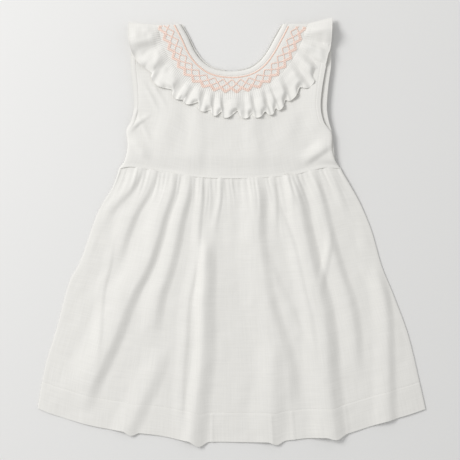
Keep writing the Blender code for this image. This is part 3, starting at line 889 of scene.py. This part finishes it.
# %% Folds of the ruffle
RuffleFold = namedtuple("RuffleFold", "ends_at_band ends_at_edge height lean retreat")
RUFFLE_FOLDS = [
    RuffleFold(0.96, 1.50, 6.65, 0.07, 0.018),
    RuffleFold(1.89, 2.65, 4.275, 0.08, 0.15),
    RuffleFold(3.30, 3.63, 3.705, 0.08, 0.234),
    RuffleFold(3.80, 3.98, 2.09, 0.07, 0.102),
    RuffleFold(4.24, 4.46, 3.705, 0.08, 0.294),
    RuffleFold(4.57, 4.80, 3.23, 0.08, 0.192),
    RuffleFold(4.85, 5.05, 3.23, 0.09, 0.234),
    RuffleFold(5.48, 5.48, 4.275, 0.09, 0.294),
    RuffleFold(5.74, 5.72, 2.85, 0.08, 0.168),
    RuffleFold(6.19, 6.08, 3.705, 0.09, 0.168),
    RuffleFold(6.50, 6.40, 2.28, 0.09, 0.138),
    RuffleFold(7.30, 6.92, 4.275, 0.09, 0.15),
    RuffleFold(8.10, 7.73, 3.705, 0.09, 0.192),
    RuffleFold(8.80, 8.51, 5.225, 0.09, 0.15),
    RuffleFold(9.36, 9.26, 5.7, 0.08, 0.036),
    RuffleFold(LAST, LAST, 8.075, 0.03, 0.012),
]
FOOT_STANDS = 1.3
CURLS_DOWN, CURL_START, CURL_LENGTH = 0.88, 0.66, 0.30
FULL_CURL_RETREAT = 0.09
FEET = np.arange(len(RUFFLE_FOLDS) + 1.0)
AT_BAND = np.array([0.0] + [fold.ends_at_band for fold in RUFFLE_FOLDS])
AT_EDGE = np.array([0.0] + [fold.ends_at_edge for fold in RUFFLE_FOLDS])
FOLD_SIZES = np.array([fold[2:] for fold in RUFFLE_FOLDS])


def round_top(phase):
    return (1 - np.cos(2 * pi * phase)) / 2


def ruffle_folds(pleat):
    count = np.interp(place_of_pleat(pleat), AT_BAND, FEET)
    number = np.clip(np.floor(count).astype(int), 0, len(RUFFLE_FOLDS) - 1)
    return count, count - number, np.moveaxis(FOLD_SIZES[number], -1, 0)


def ruffle_unevenness(pleat, across, x, y):
    fine = PLEAT_HEIGHT * pleat_shape(pleat) * np.clip(1 - across / 0.5, 0, 1) ** 2
    streaks = 0.6 * rumple(pleat * 2.2, across * 9.0, 6.0, 31) * ease(across / 0.4)
    return fine + streaks + 0.8 * rumple(x, y, 7.0, 32) * ease(across / 0.3)


print(len(RUFFLE_FOLDS), "folds in the front ruffle")

# %% [markdown]
# A point of the ruffle is found by its pleat and by its share of the way from the
# band to the free edge.

# %% Front of the ruffle
def ruffle_front_place(pleat, across):
    count, phase, (height, lean, retreat) = ruffle_folds(pleat)
    top = round_top(phase)
    mouth = round_top(phase - 0.04) ** 1.7
    leant = count + lean * top ** 2 * across ** 0.6
    place = between(np.interp(leant, FEET, AT_BAND), np.interp(leant, FEET, AT_EDGE), across)
    place = inside_collar(place)
    reach = across * (1 - retreat * mouth * across ** 1.5)
    point = between(collar_line("band", place), collar_line("edge", place), reach[..., None])
    curl = CURLS_DOWN * ease(1.6 * mouth) * ease((across - CURL_START) / CURL_LENGTH)
    curl = curl * ease(retreat / FULL_CURL_RETREAT)
    fold = (FOOT_STANDS + height * top ** 0.85) * np.sin(pi / 2 * across ** 0.7) * (1 - curl)
    flat = front_height(point[..., 1]) + LAYER + fold
    flat = flat + ruffle_unevenness(pleat, across, point[..., 0], point[..., 1])
    height = over_shoulder(flat, place, SHOULDER_ROLL * (1 - 0.3 * across),
                           fold_stand(place, across))
    return point[..., 0], point[..., 1], height


ruffle_front = cloth("ruffle_front_cotton", pleat_columns, np.linspace(0, 1, 26),
                     ruffle_front_place, WALL, collar_cotton, RUFFLE_CUT, facing=-1)
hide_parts("ruffle_front")

# %% [markdown]
# The free edge is rolled between the fingers and whipped, which leaves a cord of
# cloth one millimetre thick all along it.

# %% Rolled edge of the ruffle
ROLLED_EDGE = 0.5
edge_columns = np.linspace(pleat_columns[0], pleat_columns[-1], 1200)
edge_path = np.stack(ruffle_front_place(edge_columns, np.ones_like(edge_columns)), -1)
edge_path[:, 2] += 0.3
ruffle_edge = threads("ruffle_edge_front", [edge_path], np.full(len(edge_path), ROLLED_EDGE),
                      collar_cotton)

# %% [markdown]
# ## The neck binding
# A bias strip folded over the neck edge hides the tops of the pleats.  A round tube
# could stand for it, but it is flat where it is sewn down and rolls over only at
# the neck, so it is a sheet too.  The pleats under it pucker it slightly.

# %% Neck binding, front
BINDING_WALL = 0.7
ROLL_FROM, ROLL_HEIGHT, ROLL_SHARE = -1.5, 2.5, 0.45
PUCKER = 0.12


def binding_front_place(count, across):
    place = inside_collar(place_of_pleat(count))
    neck, outward, width = outward_from_neck(place)
    point = neck + outward * (BINDING_WIDTH * across)[..., None]
    flat = band_underside(place, point[..., 1], BINDING_WIDTH * across)
    curled = ROLL_FROM + ROLL_HEIGHT * quarter_round(across / ROLL_SHARE)
    sewn_down = 0.6 * ease((across - 0.75) / 0.25)
    pucker = PUCKER * np.cos(2 * pi * count) * across
    return point[..., 0], point[..., 1], flat + curled - sewn_down + pucker


binding_columns = np.linspace(front_counts[0], front_counts[-1], 480)
binding_across = np.concatenate([np.linspace(0, 0.3, 6, endpoint=False), np.linspace(0.3, 1, 9)])
binding_front = cloth("neck_binding_front_cotton", binding_columns, binding_across,
                      binding_front_place, BINDING_WALL, collar_cotton, BINDING_CUT, facing=-1)
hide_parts("neck_binding_front")

# %% [markdown]
# ## The back of the collar
# It lies under the dress, pressed flat against the table, and it is the same strip:
# binding, pleated band and ruffle, in two halves that part at the centre back.

# %% Halves of the back, and their columns
BACK_PARTING = 8.0 / 21.0
HALF_WAY = LAST / 2
back_counts, back_place_of_pleat = pleat_counter(back=True)
BACK_HALVES = {"left": (NEAR_END, HALF_WAY - BACK_PARTING),
               "right": (HALF_WAY + BACK_PARTING, LAST - NEAR_END)}


def back_ends(half):
    return np.interp(BACK_HALVES[half], ALL_PLACES, back_counts)


def back_columns(half):
    first, last = back_ends(half)
    inner = np.arange(np.ceil(first), np.floor(last))
    columns = (inner[:, None] + PLEAT_POINTS).ravel()
    return np.concatenate([[first], columns[columns > first], [last]])


print("each back half has about", round(float(np.ptp(back_ends("left")))), "pleats")

# %% [markdown]
# The pleats and the walls point down here, because the outside of the back faces the
# table.  The ruffle is pressed into low, even waves, since the dress lies on it.

# %% Where the back strips lie
BACK_PLEAT_HEIGHT = 1.1
PLEATS_IN_BACK_FOLD = 8


def back_point(place, distance):
    neck, outward, width = outward_from_neck(place, back=True)
    return neck + outward * distance(width)[..., None]


def band_back_place(count, across):
    place = back_place_of_pleat(count)
    point = back_point(place, lambda width: between(BINDING_WIDTH - UNDER_BINDING, width, across))
    sunk = BACK_PLEAT_HEIGHT * pleat_shape(count) * ease(across / 0.1)
    return point[..., 0], point[..., 1], over_shoulder(PLEATED - sunk, place)


def binding_back_place(count, across):
    place = back_place_of_pleat(count)
    point = back_point(place, lambda width: 0 * width + between(-2.5, BINDING_WIDTH, across))
    sunk = 0.9 * ease(across / 0.35)
    return point[..., 0], point[..., 1], over_shoulder(PLEATED - sunk, place)


def ruffle_back_place(count, across):
    place = back_place_of_pleat(count)
    band, edge = collar_line("band", place, True), collar_line("edge", place, True)
    point = between(band, edge, across[..., None])
    waves = round_top(count / PLEATS_IN_BACK_FOLD) * across
    fine = pleat_shape(count) * np.clip(1 - across / 0.5, 0, 1) ** 2
    flat = 1.1 + 1.0 * waves - 0.6 * fine + 0.6 * (1 - across)
    height = over_shoulder(flat, place, SHOULDER_ROLL * (1 - 0.3 * across),
                           fold_stand(place, across))
    return point[..., 0], point[..., 1], height


print("the back pleats are", BACK_PLEAT_HEIGHT, "mm deep")

# %% [markdown]
# The two halves are made from the same three strips.

# %% The strips of both halves
BackStrip = namedtuple("BackStrip", "node place across cut slot")
BACK_STRIPS = [
    BackStrip("smocked_band_back_", band_back_place, band_across, BAND_CUT, "smocked_cotton"),
    BackStrip("neck_binding_back_", binding_back_place, np.linspace(0, 1, 9), BINDING_CUT,
              "binding_cotton"),
    BackStrip("ruffle_back_", ruffle_back_place, np.linspace(0, 1, 16), RUFFLE_CUT, "ruffle_cotton"),
]
for half in BACK_HALVES:
    for strip in BACK_STRIPS:
        piece = cloth(strip.node + half + "_cotton", back_columns(half), strip.across, strip.place,
                      BACK_WALL, collar_cotton, strip.cut)
        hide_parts(strip.node + half)

# %% [markdown]
# ## The embroidery
# Three kinds of smocking stitch hold the pleats.  A rope stitch, one slanted stitch
# to each pleat, follows the binding.  Below it a trellis climbs and falls three
# pleats at a time and leaves a row of open diamonds.  The last tier is worked
# closely in a paler thread, and its points end in the ruffle.  It could be drawn in
# the material, but raised thread has its own light and shade, so every stitch is a
# short cord from the top of one pleat to the next.  The back is worked the same way.

# %% On top of the pleats
ROPE_FROM_NECK = 7.6
ROPE_SLANT = 0.55
TRELLIS_REACH = 5.5
CLOSE_ROWS, CLOSE_REACH = (3.6, 5.0, 6.4), 5.2
ON_THE_CLOTH, STITCH_ARCH = 0.05, 0.2


def on_front_band(count, distance, lift):
    place = inside_collar(place_of_pleat(count))
    neck, outward, width = outward_from_neck(place)
    point = neck + outward * distance[..., None]
    pleat_top = band_underside(place, point[..., 1], distance) + BAND_CLEAR + PLEAT_HEIGHT + WALL
    return np.stack([point[..., 0], point[..., 1], pleat_top + lift], -1)


def on_back_band(count, distance, lift):
    place = inside_collar(back_place_of_pleat(count))
    neck, outward, width = outward_from_neck(place, back=True)
    point = neck + outward * distance[..., None]
    pleat_top = over_shoulder(PLEATED - BACK_PLEAT_HEIGHT - BACK_WALL, place)
    return np.stack([point[..., 0], point[..., 1], pleat_top - lift], -1)


print("the rope stitch runs", ROPE_FROM_NECK, "mm from the neck")

# %% [markdown]
# A stitch is thin at both ends, where it goes into the cloth, and arches a little
# between them.  The trellis's middle line wanders slightly, as hand work does.

# %% Stitches in rows
STITCH_RINGS = np.array([0.0, 0.12, 0.5, 0.88, 1.0])
STITCH_ROUND = np.array([0.35, 0.9, 1.0, 0.9, 0.35])


def stitches(on_band, starts, ends, from_neck_start, from_neck_end):
    counts = between(starts[:, None], ends[:, None], STITCH_RINGS)
    distances = between(from_neck_start[:, None], from_neck_end[:, None], STITCH_RINGS)
    return on_band(counts, distances, ON_THE_CLOTH + STITCH_ARCH * np.sin(pi * STITCH_RINGS))


def trellis_middle(place):
    return np.interp(place, [0, 3, 5, 6.5, 8, 10], [17.5, 17.0, 15.5, 16.5, 18.5, 18.5])


def zigzag(count):
    return np.abs((count / PLEATS_IN_DIAMOND + 0.5) % 1.0 - 0.5) * 2


def wave(on_band, starts, place_of, depth, climb):
    here, there = (trellis_middle(place_of(count)) + depth + climb * zigzag(count)
                   for count in (starts, starts + 1.0))
    return stitches(on_band, starts, starts + 1.0, here, there)


print("a diamond is", 2 * TRELLIS_REACH, "mm high")

# %% [markdown]
# Each side is worked in three threads, and each thread is one piece.  A thread lies
# flattened on the pleats, because its strands spread.

# %% Work the front and the two backs
def embroider(side, first, last, place_of, on_band):
    knots = np.arange(first, last - 1.0)
    near, far = (0 * knots + ROPE_FROM_NECK + slant for slant in (ROPE_SLANT, -ROPE_SLANT))
    rope = stitches(on_band, knots + 0.08, knots + 1.05, near, far)
    trellis = np.concatenate([wave(on_band, knots, place_of, -climb, climb)
                              for climb in (TRELLIS_REACH, -TRELLIS_REACH)])
    close = np.concatenate([wave(on_band, knots, place_of, row, CLOSE_REACH) for row in CLOSE_ROWS])
    work = (("rope_stitches_", rope, 0.85, rope_thread),
            ("trellis_stitches_", trellis, 0.72, trellis_thread),
            ("close_stitches_", close, 0.68, fill_thread))
    for name, paths, radius, finish in work:
        piece = threads(name + side, paths, radius * STITCH_ROUND, finish, 0.5)


embroider("front", FIRST_PLEAT, LAST_PLEAT, place_of_pleat, on_front_band)
for half in BACK_HALVES:
    first, last = back_ends(half)
    embroider("back_" + half, np.ceil(first), np.floor(last), back_place_of_pleat, on_back_band)

# %% [markdown]
# ## Seam stitches
# The hem, the armhole edges and the binding are stitched down in white, about nine
# stitches to the inch.  They hardly show, but an edge without them looks glued.
# `sewn_line` cuts a line that lies on the cloth into stitches.

# %% White stitches
SEWN_PITCH, SEWN_SHARE = 2.8, 0.62
SEWN_RADIUS = 0.22


def sewn_line(path):
    steps = np.linalg.norm(np.diff(path, axis=0), axis=1)
    lengths = np.concatenate([[0], np.cumsum(steps)])
    starts = np.arange(0.5, lengths[-1] - SEWN_PITCH, SEWN_PITCH)
    at = starts[:, None] + SEWN_PITCH * SEWN_SHARE * STITCH_RINGS
    return np.stack([np.interp(at, lengths, path[:, k]) for k in range(3)], -1)


def on_top(place_point, across, along, wall):
    point = np.stack(np.broadcast_arrays(*place_point(across, along)), -1)
    return point + np.array([0.0, 0.0, wall + ON_THE_CLOTH])


along_hem = np.linspace(0.006, 0.994, 1500)
hem = sewn_line(on_top(skirt_front_place, along_hem, 0 * along_hem + HEM_LINE - 0.002, WALL))
up_side = np.linspace(0.33, 0.93, 300)
turned_width = ARMHOLE_TURN / front_width(up_side)
armholes = [sewn_line(on_top(bodice_front_place, across, up_side, WALL))
            for across in (turned_width, 1 - turned_width)]
round_neck = np.linspace(front_counts[0] + 0.3, front_counts[-1] - 0.3, 1500)
neck_line = sewn_line(on_top(binding_front_place, round_neck, 0 * round_neck + 0.84, BINDING_WALL))
for name, paths, slot_name in (("hem_stitches", hem, "skirt_cotton"),
                               ("armhole_stitches", np.concatenate(armholes), "bodice_cotton"),
                               ("binding_stitches", neck_line, "binding_cotton")):
    piece = threads(name, paths, SEWN_RADIUS * STITCH_ROUND, sewing_thread)

# %% [markdown]
# ## Buttons
# Three small flat shell buttons close the back.  Shell is hard and polished, so it
# is smooth and glossy, with a cloudy tone.

# %% White shell
def shell(name):
    material, tree, shader = plain(name, "#EFEBE0", 0.22)
    shader.inputs["Coat Weight"].default_value = 0.3
    place = add(tree, "TexCoord", {}).outputs["Object"]
    cloud = add(tree, "TexNoise", {"Vector": place}, Scale=1 / (3.0 * MM), Detail=2.0)
    tone = add(tree, "ValToRGB", {"Fac": cloud.outputs["Fac"]})
    tone.color_ramp.elements[0].color = linear("#E2DDD2")
    tone.color_ramp.elements[1].color = linear("#F6F3EA")
    tree.links.new(tone.outputs["Color"], shader.inputs["Base Color"])
    return material


shell_white = shell("white shell")
print("the buttons are of", shell_white.name)

# %% [markdown]
# A button starts as a disc.  Its outer face, which looks at the table, is inset and
# sunk to leave a rim, and the edges are rounded.  A turned profile would give the
# same, but holes are easier to bore in a solid disc.

# %% A disc with a rim
BUTTON_RADIUS, BUTTON_THICK = 5.0, 1.8
RIM_WIDTH, RIM_SLOPE, RIM_DEPTH = 1.1, 0.35, 0.45
EDGE_ROUND = 0.3
middle_of_button = Vector(ORIGIN + TOP_BUTTON * MM)
bpy.ops.object.select_all(action="DESELECT")
bpy.ops.mesh.primitive_cylinder_add(vertices=40, radius=BUTTON_RADIUS * MM, depth=BUTTON_THICK * MM,
                                    location=middle_of_button)
button = bpy.context.object
button.name = "button_1_shell"
bpy.ops.object.transform_apply(location=True, rotation=True, scale=True)
bpy.ops.object.mode_set(mode="EDIT")
bpy.ops.mesh.select_all(action="DESELECT")
bpy.ops.object.mode_set(mode="OBJECT")
for face in button.data.polygons:
    face.select = face.normal.z < -0.5
bpy.ops.object.mode_set(mode="EDIT")
bpy.ops.mesh.inset(thickness=RIM_WIDTH * MM)
bpy.ops.mesh.inset(thickness=RIM_SLOPE * MM, depth=-RIM_DEPTH * MM)
bpy.ops.object.mode_set(mode="OBJECT")
bevel = button.modifiers.new("rounded edges", "BEVEL")
bevel.width = EDGE_ROUND * MM
bevel.segments = 2
bpy.ops.object.modifier_apply(modifier=bevel.name)
print("the disc has", len(button.data.polygons), "faces")

# %% [markdown]
# Four holes take the thread.  Each is cut out with a small cylinder.

# %% Four holes
HOLE_RADIUS, HOLE_OFFSET = 0.5, 1.1
for right, up in ((-1, -1), (1, -1), (1, 1), (-1, 1)):
    hole_place = middle_of_button + Vector((right, up, 0.0)) * HOLE_OFFSET * MM
    bpy.ops.mesh.primitive_cylinder_add(vertices=12, radius=HOLE_RADIUS * MM, depth=4 * MM,
                                        location=hole_place)
    drill = bpy.context.object
    bpy.context.view_layer.objects.active = button
    bore = button.modifiers.new("hole", "BOOLEAN")
    bore.object = drill
    bore.operation = "DIFFERENCE"
    bore.solver = "EXACT"
    bpy.ops.object.modifier_apply(modifier=bore.name)
    bpy.data.objects.remove(drill)
button.data.materials.clear()
button.data.materials.append(shell_white)
bpy.ops.object.select_all(action="DESELECT")
button.select_set(True)
bpy.ops.object.shade_smooth_by_angle(angle=radians(35))
print("four holes,", 2 * HOLE_RADIUS, "mm across")

# %% [markdown]
# The other two are copies with meshes of their own, moved to their CAD nodes.

# %% Three buttons
for number in (1, 2, 3):
    twin = button
    if number > 1:
        twin = bpy.data.objects.new("button_%d_shell" % number, button.data.copy())
        bpy.context.collection.objects.link(twin)
        place_low, place_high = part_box("button_%d" % number)
        shift = (Vector(place_low) + Vector(place_high)) / 2 - middle_of_button
        for corner in twin.data.vertices:
            corner.co += shift
    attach(twin, "root")
    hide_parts("button_%d" % number)
print("three buttons,", len(button.data.polygons), "faces each")

# %% [markdown]
# ## Table and light
# A wide pale board lies under everything.  It is painted, so it is matt.

# %% Table
BOARD = 4.0
bpy.ops.object.select_all(action="DESELECT")
bpy.ops.mesh.primitive_plane_add(size=BOARD, location=(0.0, 0.0, -0.0002))
board = bpy.context.object
board.name = "pale board"
board_paint, *_ = plain("pale grey painted board", "#EBEAE8", 0.8)
board.data.materials.append(board_paint)
print("the board is", BOARD, "m wide")

# %% [markdown]
# A round lamp a metre across, halfway up on the upper left, stands for a window.
# Its slanting light is what draws the folds.  A pale surround fills the shadows.

# %% Light
LIGHT_ROUND = radians(148)
LIGHT_UP = radians(43)
LIGHT_AWAY = 2.4
window_data = bpy.data.lights.new("soft window", "AREA")
window_data.shape = "DISK"
window_data.size = 1.05
window_data.energy = 31.0
window = bpy.data.objects.new("soft window", window_data)
bpy.context.collection.objects.link(window)
from_dress = Vector((np.cos(LIGHT_UP) * np.cos(LIGHT_ROUND),
                     np.cos(LIGHT_UP) * np.sin(LIGHT_ROUND),
                     np.sin(LIGHT_UP)))
window.location = LIGHT_AWAY * from_dress
window.rotation_euler = window.location.to_track_quat("Z", "Y").to_euler()
surround = bpy.data.worlds.new("pale room")
surround.use_nodes = True
room_light = surround.node_tree.nodes["Background"]
room_light.inputs["Color"].default_value = linear("#FDFEFF")
room_light.inputs["Strength"].default_value = 0.565
bpy.context.scene.world = surround
bpy.context.scene.view_settings.view_transform = "Standard"
print("lit from", round(float(np.degrees(LIGHT_UP))), "degrees above the table")

# %% [markdown]
# ## Cut sizes
# Each sheet is listed with the size that it was cut to and its area.  The collar strip
# takes 3.6 mm of cloth to a pleat, and its band and its ruffle are the two parts of one width.

FRONT_STRIP, HALF_STRIP = 0.425, 0.198
Cut = namedtuple("Cut", "piece width length area held rests_on going_with")
EMBROIDERY = ("rope_stitches_", "trellis_stitches_", "close_stitches_")
TABLE = ["pale board"]
CUTS = [
    Cut("skirt_front_cotton", 0.54, 0.345, 0.170, "gathered", ["skirt_back_cotton"], ["hem_stitches"]),
    Cut("skirt_back_cotton", 0.54, 0.345, 0.170, "gathered", TABLE, []),
    Cut("bodice_front_cotton", 0.28, 0.182, 0.0375, "laid",
        ["bodice_back_left_cotton", "bodice_back_right_cotton"], ["armhole_stitches"]),
    Cut("bodice_back_left_cotton", 0.15, 0.182, 0.0205, "laid", TABLE, []),
    Cut("bodice_back_right_cotton", 0.15, 0.182, 0.0205, "laid", ["bodice_back_left_cotton"], []),
    Cut("smocked_band_front_cotton", FRONT_STRIP, 0.030, 0.0100, "gathered",
        ["bodice_front_cotton"], [name + "front" for name in EMBROIDERY]),
    Cut("ruffle_front_cotton", FRONT_STRIP, 0.036, 0.0146, "gathered",
        ["bodice_front_cotton"], ["ruffle_edge_front"]),
    Cut("neck_binding_front_cotton", 0.24, 0.0105, 0.0017, "stretched",
        ["smocked_band_front_cotton"], ["binding_stitches"]),
]
for half in BACK_HALVES:
    CUTS += [
        Cut("smocked_band_back_" + half + "_cotton", HALF_STRIP, 0.030, 0.0047, "gathered",
            TABLE, [name + "back_" + half for name in EMBROIDERY]),
        Cut("ruffle_back_" + half + "_cotton", HALF_STRIP, 0.036, 0.0067, "gathered", TABLE, []),
        Cut("neck_binding_back_" + half + "_cotton", 0.115, 0.0105, 0.0008, "stretched", TABLE, []),
    ]
print(len(CUTS), "sheets declared")
